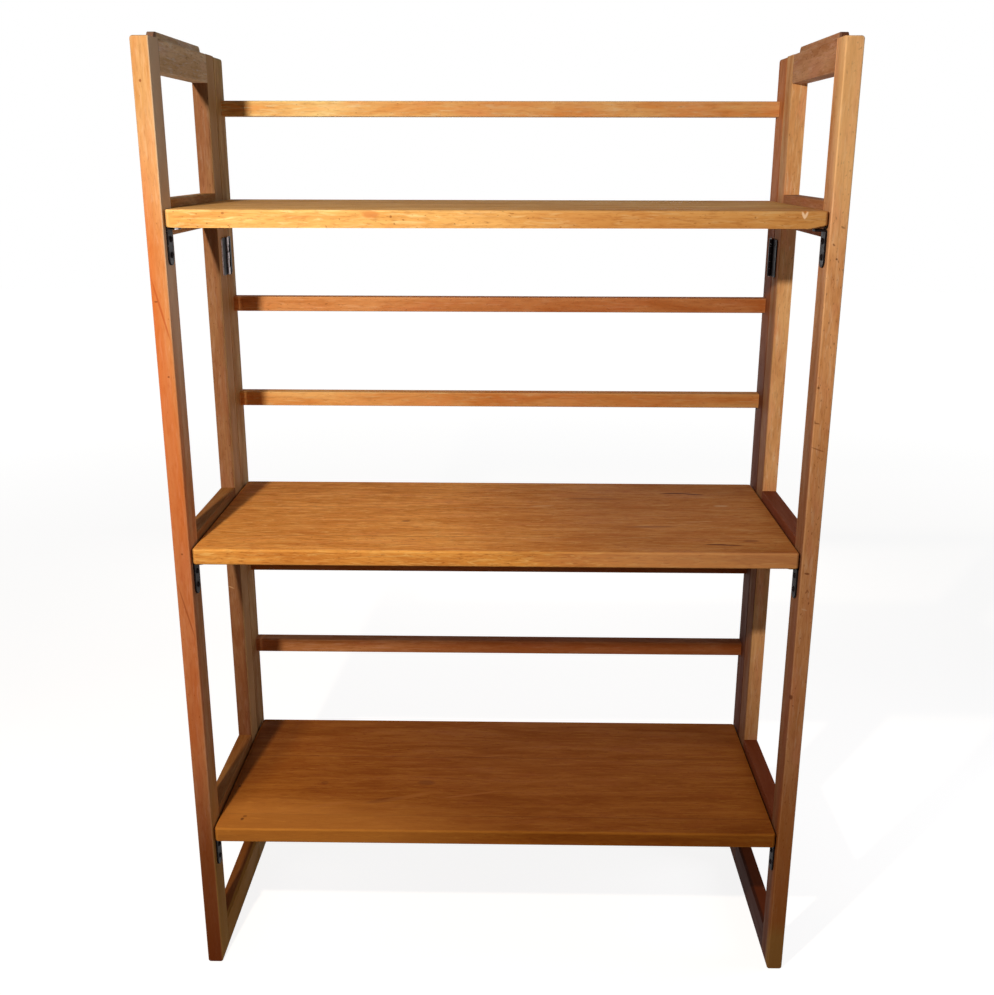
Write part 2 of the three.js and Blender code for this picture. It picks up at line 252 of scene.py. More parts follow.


# Oiled beech, planed and sanded: soft mottled bands along the grain, faint growth rings, dark and pale
# streaks, short dark flecks and a blush of pink. Old oil is nearly matt, so its IOR and sheen are low.
# The end grain drinks more of it and is darker. Towards the floor the wood is painted redder and
# darker, as painted shade. Each layer of the figure gives the length and width of its patches in mm,
# its noise, the range of the noise over which it shows, and how much of it shows. Flecks are drawn
# coarser than real ones, which are too fine to show.
GRAIN_TURNS = {X: (0, 0, 0), Y: (0, 0, -math.pi / 2), Z: (0, math.pi / 2, 0)}
FIGURE = {
    "band": {
        "patch": (120, 19), "noise": {"Detail": 4, "Roughness": 0.58, "Distortion": 0.9},
        "range": (0.38, 0.66), "most": 0.85,
    },
    "blush": {
        "patch": (60, 17), "noise": {"Detail": 3, "Roughness": 0.5, "Distortion": 0.4},
        "range": (0.50, 0.70), "most": 0.55,
    },
    "ray": {
        "patch": (15, 2), "noise": {"Detail": 3, "Roughness": 0.65, "Distortion": 0.4},
        "range": (0.5, 0.68), "most": 0.42,
    },
    "pale": {
        "patch": (26, 3), "noise": {"Detail": 3, "Roughness": 0.65, "Distortion": 0.6},
        "range": (0.53, 0.7), "most": 0.42,
    },
    "fleck": {
        "patch": (4.6, 1.8), "noise": {"Detail": 1, "Roughness": 0.4, "Distortion": 0},
        "range": (0.715, 0.78), "most": 0.6,
    },
}
RAY_TINT = (0.45, 0.3, 0.24)
PALE_TINT = (1.24, 1.5, 2.2)
FLECK_TINT = (0.22, 0.14, 0.13)
RING_WIDTH = 8 * MM
RING_STRETCH = 0.06
RING_WAVER = {"Distortion": 6, "Detail": 3, "Detail Scale": 0.16}
WAVE_UNIT = math.pi / 10  # the length of one wave of Blender's wave texture at scale 1
RING_RANGE = (0.6, 1)
RING_MOST = 0.16
# Eased edges are paler, partly from wear and partly as a painted highlight on the arrises.
WORN_AND_HIGHLIT_TINT = (1.2, 1.5, 2)
WORN_AND_HIGHLIT_MOST = 0.16
# Each of these: the range of its measure over which it shows, how much of it shows, its colour
# The first two make the wood redder and darker towards the floor, as painted shade.
LOW_REDDENING_PAINTED_SHADE = ((1.02, 0.05), 0.3, linear("#8a3e12"))
LOW_DARKENING_PAINTED_SHADE = ((0.36, 0), 0.78, linear("#542004"))
END_GRAIN = ((0.35, 0.95), 0.72, linear("#6b3a20"))
JOINT_LINE = ((0.9 * MM, 0.3 * MM), 0.45, linear("#5c2c10"))
BOARD_SHIFT = Vector((0.71, 0.033, 0.017))
MARK_RANGE = (0.5, 0.3)
MIX_UNDER, MIX_OVER, MIX_RESULT = 6, 7, 2  # colour sockets of the mix node, which share their names
GRAIN_RELIEF = {"Strength": 0.5, "Distance": 0.1 * MM}
BEECH_IOR = 1.3
BEECH_SHEEN = 0.15
BEECH_DULLNESS = {"From Min": 0.35, "From Max": 0.65, "To Min": 0.66, "To Max": 0.84}


def grain_start(first_and_step, number):
    """Where a board starts in the pattern of the wood, so that no two boards look alike."""
    return [first + number * step for first, step in zip(*first_and_step)]


def oiled_beech(board_name, grain, start, tones, joints=(), marks=(), flecked=0.0, lively=1.0):
    """Oiled beech for a board, with its grain along an axis.

    Joints are the places in Y where boards are glued edge to edge. Marks are stains, streaks and
    painted light and shade: each is its middle and its size in mm, its colour, how much of it shows
    and, where it has them, its lean about Y and its turn about Z in degrees. Lively wood has stronger,
    wavier streaks.
    """
    material, tree = new_material(f"oiled_beech_{board_name}")
    place = add(tree, "TexCoord")
    spot = place.outputs["Object"]
    parts = add(tree, "SeparateXYZ", links={"Vector": spot})
    along = add(
        tree, "Mapping", values={"Rotation": GRAIN_TURNS[grain], "Location": start},
        links={"Vector": spot},
    )
    joint_lines = []
    for joint in joints:
        beyond = add(tree, "Math", {"operation": "GREATER_THAN"}, {1: joint}, {0: parts.outputs["Y"]})
        shift = add(tree, "VectorMath", {"operation": "SCALE"}, {0: BOARD_SHIFT}, {"Scale": beyond})
        along = add(tree, "VectorMath", {"operation": "ADD"}, links={0: along, 1: shift})
        beside = add(tree, "Math", {"operation": "SUBTRACT"}, {1: joint}, {0: parts.outputs["Y"]})
        gap = add(tree, "Math", {"operation": "ABSOLUTE"}, links={0: beside})
        joint_lines.append((gap, *JOINT_LINE))

    shades = {
        "band": linear(tones[1]), "blush": linear(tones[2]), "ray": tinted(tones[0], RAY_TINT),
        "pale": tinted(tones[0], PALE_TINT), "fleck": tinted(tones[0], FLECK_TINT),
    }
    noises = {}
    layers = []
    for layer, facts in FIGURE.items():
        length, width = facts["patch"]
        patch = Vector((length, width, width)) * MM
        stretched = add(tree, "VectorMath", {"operation": "DIVIDE"}, {1: patch}, {0: along})
        strength = lively if layer in ("ray", "pale") else 1
        noise = {**facts["noise"], "Scale": 1, "Distortion": facts["noise"]["Distortion"] * strength}
        noises[layer] = add(tree, "TexNoise", values=noise, links={"Vector": stretched})
        low, high = facts["range"]
        if layer == "fleck":
            low -= flecked
            high -= flecked
        layers.append((noises[layer], (low, high), facts["most"] * strength, shades[layer]))
    squeezed = add(tree, "VectorMath", {"operation": "MULTIPLY"}, {1: (RING_STRETCH, 1, 1)}, {0: along})
    rings = add(
        tree, "TexWave", {"wave_type": "RINGS", "rings_direction": "X", "wave_profile": "SAW"},
        {"Scale": WAVE_UNIT / RING_WIDTH, **RING_WAVER}, {"Vector": squeezed},
    )
    normal = add(tree, "SeparateXYZ", links={"Vector": place.outputs["Normal"]})
    facing = add(tree, "Math", {"operation": "ABSOLUTE"}, links={0: normal.outputs["XYZ"[grain]]})
    worn_and_highlit = add(tree, "Attribute", {"attribute_name": "worn_and_highlit_edge"})
    layers += [
        (rings.outputs["Fac"], RING_RANGE, RING_MOST, shades["ray"]),
        (parts.outputs["Z"], *LOW_REDDENING_PAINTED_SHADE),
        (parts.outputs["Z"], *LOW_DARKENING_PAINTED_SHADE),
        (facing, *END_GRAIN),
        (worn_and_highlit.outputs["Fac"], (0, 1), WORN_AND_HIGHLIT_MOST, tinted(tones[0], WORN_AND_HIGHLIT_TINT)),
    ] + joint_lines
    for middle, size, shade, most, *tilt in marks:
        lean, turn = tilt or (0, 0)
        inside = add(
            tree, "Mapping", {"vector_type": "TEXTURE"},
            {
                "Location": Vector(middle) * MM, "Scale": Vector(size) * MM,
                "Rotation": (0, math.radians(lean), math.radians(turn)),
            },
            {"Vector": spot},
        )
        distance = add(tree, "VectorMath", {"operation": "LENGTH"}, links={0: inside})
        layers.append((distance.outputs["Value"], MARK_RANGE, most, linear(shade)))

    colour = None
    for source, (low, high), most, shade in layers:
        amount = add(
            tree, "MapRange", values={"From Min": low, "From Max": high, "To Max": most},
            links={"Value": source},
        )
        under = {MIX_UNDER: colour} if colour else {}
        mixed = add(
            tree, "Mix", {"data_type": "RGBA"}, {MIX_UNDER: linear(tones[0]), MIX_OVER: shade},
            {0: amount, **under},
        )
        colour = mixed.outputs[MIX_RESULT]
    relief = add(tree, "Math", {"operation": "ADD"}, links={0: noises["ray"], 1: noises["pale"]})
    bump = add(tree, "Bump", values=GRAIN_RELIEF, links={"Height": relief})
    dullness = add(tree, "MapRange", values=BEECH_DULLNESS, links={"Value": noises["band"]})
    surface = add(
        tree, "BsdfPrincipled", values={"IOR": BEECH_IOR, "Specular IOR Level": BEECH_SHEEN},
        links={"Base Color": colour, "Normal": bump, "Roughness": dullness},
    )
    add(tree, "OutputMaterial", links={"Surface": surface})
    return material


STILE_GRAIN = ((0, 0, 0.05), (1.7, 0.31, 0))
STILES = {
    "left_front_stile": {
        "tones": ("#d2a26f", "#c08047", "#ce8e65"),
        "marks": (
            ((-348, -142, 560), (44, 28, 860), "#c4501e", 0.47, -1, 0),
            ((-341, -142, 720), (60, 28, 480), "#d06c22", 0.3),
            # Painted shade: darker towards the foot.
            ((-341, -140, -60), (60, 60, 700), "#762e02", 0.6),
            ((-341, -142, 1060), (60, 60, 240), "#b08a50", 0.3),
            # Painted light on the shaded inner face, high and low.
            ((-331, -125, 980), (5, 90, 700), "#f0d4b0", 0.8),
            ((-331, -125, 60), (5, 90, 520), "#c8964a", 0.6),
            ((-341, -142, 794), (2.4, 9, 82), "#a8481c", 0.6, -12.9, 0),
            ((-340.4, -142, 461), (2, 9, 76), "#8c3f1a", 0.55, -12.8, 0),
            ((-342.6, -142, 1015), (3, 4, 3.4), "#7a3a18", 0.7),
            ((-345.4, -142, 803), (4.4, 4, 2), "#6e3214", 0.7),
            ((-338.9, -142, 725.5), (2.6, 4, 2.2), "#6e3214", 0.7),
            ((-340.5, -142, 530), (2.6, 4, 2.6), "#6e3214", 0.7),
        ),
    },
    "right_front_stile": {
        "tones": ("#f4b77e", "#d59258", "#eea076"), "flecked": 0.03,
        "marks": (
            ((344.6, -142, 879), (5, 4, 2.4), "#7a3f20", 0.7, 30, 0),
            ((337.3, -142, 862), (4, 4, 2), "#7a3f20", 0.7, 40, 0),
            ((341.2, -142, 848), (2.4, 4, 2.4), "#5c2c14", 0.8),
            ((334.1, -142, 717.5), (3, 4, 3), "#5c2c14", 0.7),
            ((335.7, -142, 680), (7, 4, 2), "#7a3f20", 0.6, 12, 0),
            ((338.7, -142, 652), (18, 4, 1.8), "#8a4c2a", 0.6, 20, 0),
            ((339, -142, 513), (7, 4, 3), "#5c2c14", 0.7, 8, 0),
            ((339.2, -142, 471), (8, 4, 1.8), "#f6d2a8", 0.6, 15, 0),
            ((333, -142, 365), (5, 9, 7), "#4e2511", 0.75),
            # Painted shade on the inner face.
            ((331, -125, 250), (5, 90, 1900), "#3c1206", 0.72),
            # Painted shade low on the front face, and painted light at its top.
            ((345, -142, 340), (60, 60, 760), "#783a1c", 0.36),
            ((345, -142, 1080), (60, 60, 480), "#ffd494", 0.4),
            ((341, -142, 80), (60, 30, 420), "#a05a10", 0.42),
            ((341, -142, 14), (60, 30, 110), "#94743c", 0.5),
        ),
    },
    "left_rear_stile": {
        "tones": ("#a37953", "#8a5735", "#9a6648"),
        "marks": (
            ((-346, 68.5, 409), (10, 4, 1.8), "#f0c090", 0.5, 25, 0),
            # Painted light on the shaded inner face.
            ((-331, 88, 560), (5, 120, 3000), "#d8ac70", 0.6),
        ),
    },
    "right_rear_stile": {
        "tones": ("#f4bf82", "#d79458", "#f3a579"), "flecked": -0.01,
        # Painted shade on the inner face.
        "marks": (((331, 90, 330), (5, 120, 1800), "#44180c", 0.76),),
    },
}

for number, (stile, facts) in enumerate(STILES.items()):
    side = stile.split("_")[0]
    sign = SIDES[side]
    is_front = "front" in stile
    outward = -1 if is_front else 1
    low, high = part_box(stile)
    middle = (low + high) / 2
    outer_face, rail_face = (low.y, high.y) if is_front else (high.y, low.y)
    inner_x, outer_x = (low.x, high.x) if sign > 0 else (high.x, low.x)
    board = new_mesh()
    add_block(board, low, high)
    end_edges = edges_along(board, Y, {Z: low.z}) + edges_along(board, Y, {X: outer_x, Z: high.z})
    ease(board, end_edges, END_ROUND)
    ease(board, edges_in_plane(board, Y, outer_face), OUTER_EASE)
    ease(board, edges_in_plane(board, Y, rail_face), INNER_EASE)
    wood = oiled_beech(stile, Z, grain_start(STILE_GRAIN, number), **facts)
    piece = make_piece(f"{stile}_board", board, wood)
    cuts = bmesh.new()
    half_mortise = TENON_THICKNESS / 2 + JOINT_CLEARANCE
    for rail in RAILS:
        rail_low, rail_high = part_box(f"{side}_{rail}")
        tip_y = (rail_low.y if is_front else rail_high.y) + outward * JOINT_CLEARANCE
        bottom = rail_low.z + TENON_SHOULDER - JOINT_CLEARANCE
        top = min(rail_high.z, high.z) - TENON_SHOULDER + JOINT_CLEARANCE
        mouth_y = rail_face - outward * CUT_OVERRUN
        add_block(cuts, (middle.x - half_mortise, tip_y, bottom), (middle.x + half_mortise, mouth_y, top))
    if is_front:
        for level in SHELF_LEVELS:
            for index in BRACKET_SCREWS:
                screw = middle_of(f"{level}_{side}_bracket_screw_{index}")
                drill(cuts, inner_x, sign, screw.y, screw.z)
    else:
        for level in HINGE_LEVELS:
            for y, z in hinge_screw_places(level, side, "frame_leaf"):
                drill(cuts, inner_x, sign, y, z)
    cut_away(piece, cuts)
    fit(piece, "frame", stile)

# Side frame rails
# Ten beech rails between the stiles, flush with their faces and glued in with a tenon at each end.
# The top ones carry the stacking tongue, and the bottom ones have the groove for another tongue.
RAIL_EASE = 0.9 * MM
TONGUE_THICKNESS = 7 * MM
TONGUE_END_GAP = 3 * MM
TONGUE_END_RADIUS = 6.4 * MM
TONGUE_CLEARANCE = 0.75 * MM
TONGUE_RISE = 7 * MM
TONGUE_END_STEPS = 6
# The front end of each tongue is darkened with painted shade.
TONGUE_TIP_SIZE = (60, 26, 22)
TONGUE_TIP_PAINTED_SHADE = "#562a1a"
TONGUE_TIP_MOST = 0.8
RAIL_GRAIN = ((0, 0, 0.04), (0.9, 0.23, 0))
# The right middle, lower and bottom rails are toned dark as painted shade, and the left top rail pale as
# painted light.
RAIL_TONES = {
    "left_top_rail": ("#f8dbaf", "#d1a975", "#ecc0a5"),
    "left_upper_rail": ("#ce9b5c", "#ac763b", "#c48756"),
    "left_middle_rail": ("#a27641", "#875929", "#99663d"),
    "left_lower_rail": ("#b58244", "#97622a", "#ac713f"),
    "left_bottom_rail": ("#d28b3b", "#b06925", "#c87937"),
    "right_top_rail": ("#c28f64", "#a56d46", "#bc7d60"),
    "right_upper_rail": ("#ab754c", "#915934", "#a56649"),
    "right_middle_rail": ("#67361f", "#562713", "#632e1d"),
    "right_lower_rail": ("#64341d", "#552612", "#612c1c"),
    "right_bottom_rail": ("#4e2411", "#411908", "#4a1f10"),
}
# Both marks lie on the bottom rails' inner faces: painted light on the left one, painted shade on the
# right one.
RAIL_MARKS = {
    "left_bottom_rail": (((-332, 0, 20), (10, 900, 200), "#c08a3c", 0.6),),
    "right_bottom_rail": (((332, 0, 20), (10, 900, 200), "#2c0e02", 0.85),),
}

half_tenon = TENON_THICKNESS / 2
for number, (side, rail) in enumerate((side, rail) for side in SIDES for rail in RAILS):
    name = f"{side}_{rail}"
    low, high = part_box(name)
    stile_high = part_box(f"{side}_front_stile")[1]
    top = min(high.z, stile_high.z)
    middle_x = (low.x + high.x) / 2
    body_low = Vector((low.x, stile_high.y, low.z))
    body_high = Vector((high.x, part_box(f"{side}_rear_stile")[0].y, top))
    board = new_mesh()
    add_block(board, body_low, body_high)
    ease(board, edges_along(board, Y), RAIL_EASE)
    for end_y, tip_y in ((body_low.y, low.y), (body_high.y, high.y)):
        add_block(
            board, (middle_x - half_tenon, end_y, low.z + TENON_SHOULDER),
            (middle_x + half_tenon, tip_y, top - TENON_SHOULDER),
        )
    marks = RAIL_MARKS.get(name, ())
    if rail == "top_rail":
        tongue_front = body_low.y + TONGUE_END_GAP
        add_block(
            board, (middle_x - TONGUE_THICKNESS / 2, tongue_front, top - CUT_OVERRUN),
            (middle_x + TONGUE_THICKNESS / 2, body_high.y - TONGUE_END_GAP, high.z),
        )
        ease(board, edges_along(board, X, {Z: high.z}), TONGUE_END_RADIUS, TONGUE_END_STEPS)
        tongue_tip = Vector((middle_x, tongue_front, high.z)) / MM
        marks = ((tongue_tip, TONGUE_TIP_SIZE, TONGUE_TIP_PAINTED_SHADE, TONGUE_TIP_MOST),)
    wood = oiled_beech(name, Y, grain_start(RAIL_GRAIN, number), RAIL_TONES[name], marks=marks)
    piece = make_piece(f"{name}_board", board, wood)
    if rail == "bottom_rail":
        half_groove = TONGUE_THICKNESS / 2 + TONGUE_CLEARANCE
        end_gap = TONGUE_END_GAP - TONGUE_CLEARANCE
        groove = bmesh.new()
        add_block(
            groove, (middle_x - half_groove, body_low.y + end_gap, low.z - CUT_OVERRUN),
            (middle_x + half_groove, body_high.y - end_gap, TONGUE_RISE + TONGUE_CLEARANCE),
        )
        # This cut can drop a tenon, which only touches the rail's end and is hidden in its stile
        cut_away(piece, groove)
    fit(piece, "frame", name)

# Back frame
# Two back stiles and five square slats of beech, joined with small square tenons. The stiles are
# deeper than the slats, so that the raised shelves stand between them in front of the slats.
BACK_EASE = 1.6 * MM
SLAT_EASE = 1.5 * MM
SLAT_TENON_SIDE = 9 * MM
PIVOT_CLEARANCE = 0.3 * MM
BACK_GRAIN = ((4, 0, 0.06), (1.3, 0.27, 0))
SLAT_GRAIN = ((7, 0, 0.05), (1.1, 0.37, 0))
SLAT_END_SIZE = (1100, 300, 300)
BACK_STILES = {
    "left": {"tones": ("#d8ae6c", "#ae7d45", "#c6925f")},
    "right": {
        "tones": ("#c7804b", "#a35d30", "#b86d45"),
        # Painted shade over the right back stile.
        "marks": (((324, 128, 230), (90, 300, 1560), "#38120a", 0.86),),
    },
}
# Each slat from the top: its tones, and the colour and strength of the painted shade at its right end
SLATS = (
    (("#fdda93", "#eda659", "#fdb97d"), "#b4501c", 0.4),
    (("#eead6f", "#ce8243", "#e4925f"), "#8c3c10", 0.48),
    (("#fdc67c", "#e4964b", "#fca96a"), "#8c3c10", 0.4),
    (("#c88e53", "#ad6a30", "#bf7846"), "#8c3c10", 0.4),
    (("#e5a36a", "#c57b3f", "#d98a5b"), "#7c340c", 0.54),
)


def add_pivot_bore(cuts, pin):
    """Adds the bore for a shelf's pivot pin to the shapes that are cut out."""
    low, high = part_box(pin)
    radius = (high.z - low.z) / 2 + PIVOT_CLEARANCE
    add_bar(cuts, (low + high) / 2, radius, high.x - low.x + 2 * PIVOT_CLEARANCE)


for number, (side, sign) in enumerate(SIDES.items()):
    low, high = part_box(f"{side}_back_stile")
    inner_x = low.x if sign > 0 else high.x
    board = new_mesh()
    add_block(board, low, high)
    ease(board, edges_along(board, Y), END_ROUND)
    for face_y in (low.y, high.y):
        ease(board, edges_in_plane(board, Y, face_y), BACK_EASE)
    start = grain_start(BACK_GRAIN, number)
    wood = oiled_beech(f"{side}_back_stile", Z, start, **BACK_STILES[side])
    piece = make_piece(f"{side}_back_stile_board", board, wood)
    cuts = bmesh.new()
    half_mortise = SLAT_TENON_SIDE / 2 + JOINT_CLEARANCE
    for index in range(len(SLATS)):
        slat_low, slat_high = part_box(f"back_slat_{index + 1}")
        middle = (slat_low + slat_high) / 2
        mouth_x = inner_x - sign * CUT_OVERRUN
        tip_x = (slat_high.x if sign > 0 else slat_low.x) + sign * JOINT_CLEARANCE
        add_block(
            cuts, (mouth_x, middle.y - half_mortise, middle.z - half_mortise),
            (tip_x, middle.y + half_mortise, middle.z + half_mortise),
        )
    for level in SHELF_LEVELS:
        add_pivot_bore(cuts, f"{level}_{side}_pivot_pin")
    for level in HINGE_LEVELS:
        for y, z in hinge_screw_places(level, side, "back_leaf"):
            drill(cuts, inner_x, sign, y, z)
    cut_away(piece, cuts)
    fit(piece, "frame", f"{side}_back_stile")

left_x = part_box("left_back_stile")[1].x
right_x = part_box("right_back_stile")[0].x
half_tenon = SLAT_TENON_SIDE / 2
for index, (tones, end_colour, end_most) in enumerate(SLATS):
    slat = f"back_slat_{index + 1}"
    low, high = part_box(slat)
    middle = (low + high) / 2
    board = new_mesh()
    add_block(board, (left_x, low.y, low.z), (right_x, high.y, high.z))
    ease(board, edges_along(board, X), SLAT_EASE)
    for end_x, tip_x in ((left_x, low.x), (right_x, high.x)):
        add_block(
            board, (end_x, middle.y - half_tenon, middle.z - half_tenon),
            (tip_x, middle.y + half_tenon, middle.z + half_tenon),
        )
    right_end = Vector((right_x, middle.y, middle.z)) / MM
    end_shade = (right_end, SLAT_END_SIZE, end_colour, end_most)
    wood = oiled_beech(slat, X, grain_start(SLAT_GRAIN, index), tones, marks=(end_shade,))
    piece = make_piece(f"{slat}_board", board, wood)
    fit(piece, "frame", slat)

# Butt hinges
# Four hinges of sheet steel, black japanned, between the side frames and the back frame. The
# knuckles are rolled from each leaf round a loose steel pin, and each leaf is held by three
# countersunk screws, the middle one a little off the line of the others.
LEAF_THICKNESS = 1.4 * MM
LEAF_CORNER = 2 * MM
# The left hinges and brackets are bared far more than the right ones, partly as a painted highlight.
BARE_WEAR_AND_HIGHLIGHT = {"left": 0.36, "right": 0.02}
HIGHLIT_CREST_FACING = -0.86
LEAF_SETBACK = 3.1 * MM
KNUCKLES = 5
KNUCKLE_GAP = 0.3 * MM
ROLL_ANGLE = math.radians(292)
ROLL_STEPS = 20
MERGE_DISTANCE = 0.001 * MM
SINK_RADIUS = 2.9 * MM
SCREW_CLEARANCE = 0.12 * MM
SHANK_RADIUS = 1.5 * MM
SINK_DEPTH = 1.3 * MM
HINGE_SCREW_LENGTH = 12 * MM
SCREW_POINT = 4 * MM
SCREW_STEPS = 28
SLOT_WIDTH = 0.8 * MM
SLOT_DEPTH = 0.8 * MM
SLOT_TURNS = (0.3, 1.9, 1.1, 2.6, 0.8, 2.2)  # in radians
PIN_DOME = 0.7 * MM
PIN_DOME_STEPS = 3

# Black japanned steel: a baked black varnish, dulled by dust, so its IOR and sheen are low, and worn
# through to grey metal on its edges. The bare grey metal is partly wear and partly a painted
# highlight, with far more of it on the left side. The worn specks are drawn 2 mm wide, coarser than
# real ones.
JAPAN_COLOUR = "#120d10"
JAPAN_DUST_COLOUR = "#241c1c"
JAPAN_GREY_COLOUR = "#d4cfd1"
JAPAN_IOR = 1.3
JAPAN_SHEEN = 0.1
JAPAN_DULLNESS = {"From Min": 0.3, "From Max": 0.7, "To Min": 0.42, "To Max": 0.58}
WEAR_SIZE = 2 * MM
WEAR_NOISE = {"Scale": 1 / WEAR_SIZE, "Detail": 4, "Roughness": 0.7}
BARE_RANGE = {"From Min": 0.68, "From Max": 0.8}
DUST_SIZE = 9 * MM
DUST_NOISE = {"Scale": 1 / DUST_SIZE, "Detail": 3, "Roughness": 0.6}
DUST_RANGE = {"From Min": 0.42, "From Max": 0.7}
HAMMER_RELIEF = {"Strength": 0.4, "Distance": 0.05 * MM}


def japanned_steel(name, edge_wear_and_highlight):
    """Black japanned steel, worn to bare metal on the edges, partly as a painted highlight."""
    material, tree = new_material(name)
    spot = add(tree, "TexCoord").outputs["Object"]
    specks = add(tree, "TexNoise", values=WEAR_NOISE, links={"Vector": spot})
    dust = add(tree, "TexNoise", values=DUST_NOISE, links={"Vector": spot})
    worn_and_highlit = add(tree, "Attribute", {"attribute_name": "worn_and_highlit_edge"})
    edge = add(
        tree, "Math", {"operation": "MULTIPLY_ADD"}, {1: edge_wear_and_highlight},
        {0: worn_and_highlit.outputs["Fac"], 2: specks},
    )
    bare = add(tree, "MapRange", values=BARE_RANGE, links={"Value": edge})
    dusty = add(tree, "MapRange", values=DUST_RANGE, links={"Value": dust})
    varnish = add(
        tree, "Mix", {"data_type": "RGBA"},
        {MIX_UNDER: linear(JAPAN_COLOUR), MIX_OVER: linear(JAPAN_DUST_COLOUR)}, {0: dusty},
    )
    colour = add(
        tree, "Mix", {"data_type": "RGBA"}, {MIX_OVER: linear(JAPAN_GREY_COLOUR)},
        {0: bare, MIX_UNDER: varnish.outputs[MIX_RESULT]},
    )
    dullness = add(tree, "MapRange", values=JAPAN_DULLNESS, links={"Value": dust})
    bump = add(tree, "Bump", values=HAMMER_RELIEF, links={"Height": specks})
    surface = add(
        tree, "BsdfPrincipled", values={"IOR": JAPAN_IOR, "Specular IOR Level": JAPAN_SHEEN},
        links={
            "Base Color": colour.outputs[MIX_RESULT], "Metallic": bare,
            "Roughness": dullness, "Normal": bump,
        },
    )
    add(tree, "OutputMaterial", links={"Surface": surface})
    return material


# Drawn steel wire: bright and grey, with fine rings left by the die. They are drawn 0.6 mm apart,
# coarser than real ones.
WIRE_COLOUR = "#a9a5a3"
WIRE_DULL_COLOUR = "#6f6866"
WIRE_RING = 0.6 * MM
WIRE_WAVES = {"Scale": WAVE_UNIT / WIRE_RING, "Distortion": 1.5, "Detail": 2, "Detail Scale": 1}
WIRE_ROUGHNESS = {"To Min": 0.25, "To Max": 0.45}
TARNISH_NOISE = {"Scale": 1 / DUST_SIZE, "Detail": 4, "Roughness": 0.65}
TARNISH_RANGE = {"From Min": 0.4, "From Max": 0.7}


def drawn_steel(name, ring_axis):
    """Bright drawn steel with rings across its length."""
    material, tree = new_material(name)
    spot = add(tree, "TexCoord").outputs["Object"]
    rings = add(
        tree, "TexWave", {"wave_type": "BANDS", "bands_direction": "XYZ"[ring_axis]},
        WIRE_WAVES, {"Vector": spot},
    )
    tarnish = add(tree, "TexNoise", values=TARNISH_NOISE, links={"Vector": spot})
    dull = add(tree, "MapRange", values=TARNISH_RANGE, links={"Value": tarnish})
    colour = add(
        tree, "Mix", {"data_type": "RGBA"},
        {MIX_UNDER: linear(WIRE_COLOUR), MIX_OVER: linear(WIRE_DULL_COLOUR)}, {0: dull},
    )
    roughness = add(tree, "MapRange", values=WIRE_ROUGHNESS, links={"Value": rings.outputs["Fac"]})
    surface = add(
        tree, "BsdfPrincipled", values={"Metallic": 1},
        links={"Base Color": colour.outputs[MIX_RESULT], "Roughness": roughness},
    )
    add(tree, "OutputMaterial", links={"Surface": surface})
    return material


def add_turned(mesh, top, direction, profile):
    """Turns a closed shape about a line. Its profile is rows of depth below the top and radius."""
    side = Vector((1, 0, 0) if abs(direction.z) > abs(direction.x) else (0, 0, 1))
    points = [mesh.verts.new(top + direction * depth + side * radius) for depth, radius in profile]
    edges = [mesh.edges.new(pair) for pair in zip(points, points[1:])]
    bmesh.ops.spin(
        mesh, geom=points + edges, cent=top, axis=direction, angle=math.tau, steps=SCREW_STEPS,
        use_merge=True,
    )
    bmesh.ops.remove_doubles(mesh, verts=mesh.verts, dist=MERGE_DISTANCE)


def pull_out(mesh, faces, reach):
    """Extrudes faces by a vector, and returns the faces at the end."""
    made = bmesh.ops.extrude_face_region(mesh, geom=faces)["geom"]
    bmesh.ops.delete(mesh, geom=faces, context="FACES_ONLY")
    moved = [item for item in made if isinstance(item, bmesh.types.BMVert)]
    bmesh.ops.translate(mesh, vec=reach, verts=moved)
    return [item for item in made if isinstance(item, bmesh.types.BMFace)]


def split(mesh, place, normal, clear_outer=False):
    """Splits a mesh along a plane, and returns the edges and points in the plane."""
    return bmesh.ops.bisect_plane(
        mesh, geom=mesh.verts[:] + mesh.edges[:] + mesh.faces[:], plane_co=place, plane_no=normal,
        clear_outer=clear_outer,
    )["geom_cut"]


def dome(height, radius, steps):
    """Points of a domed end, from its top to its rim."""
    angles = [math.pi / 2 * step / steps for step in range(steps + 1)]
    return [(height * (1 - math.cos(angle)), radius * math.sin(angle)) for angle in angles]


def add_slot(mesh, top, axis_vector, radius, turn):
    """Adds the block that cuts a screwdriver slot across a screw's head."""
    half_width = SLOT_WIDTH / 2
    made = add_block(
        mesh,
        top + Vector((-SLOT_DEPTH, -half_width, -radius - CUT_OVERRUN)),
        top + Vector((SLOT_DEPTH, half_width, radius + CUT_OVERRUN)),
    )
    bmesh.ops.rotate(mesh, cent=top, matrix=Matrix.Rotation(turn, 3, axis_vector), verts=made)


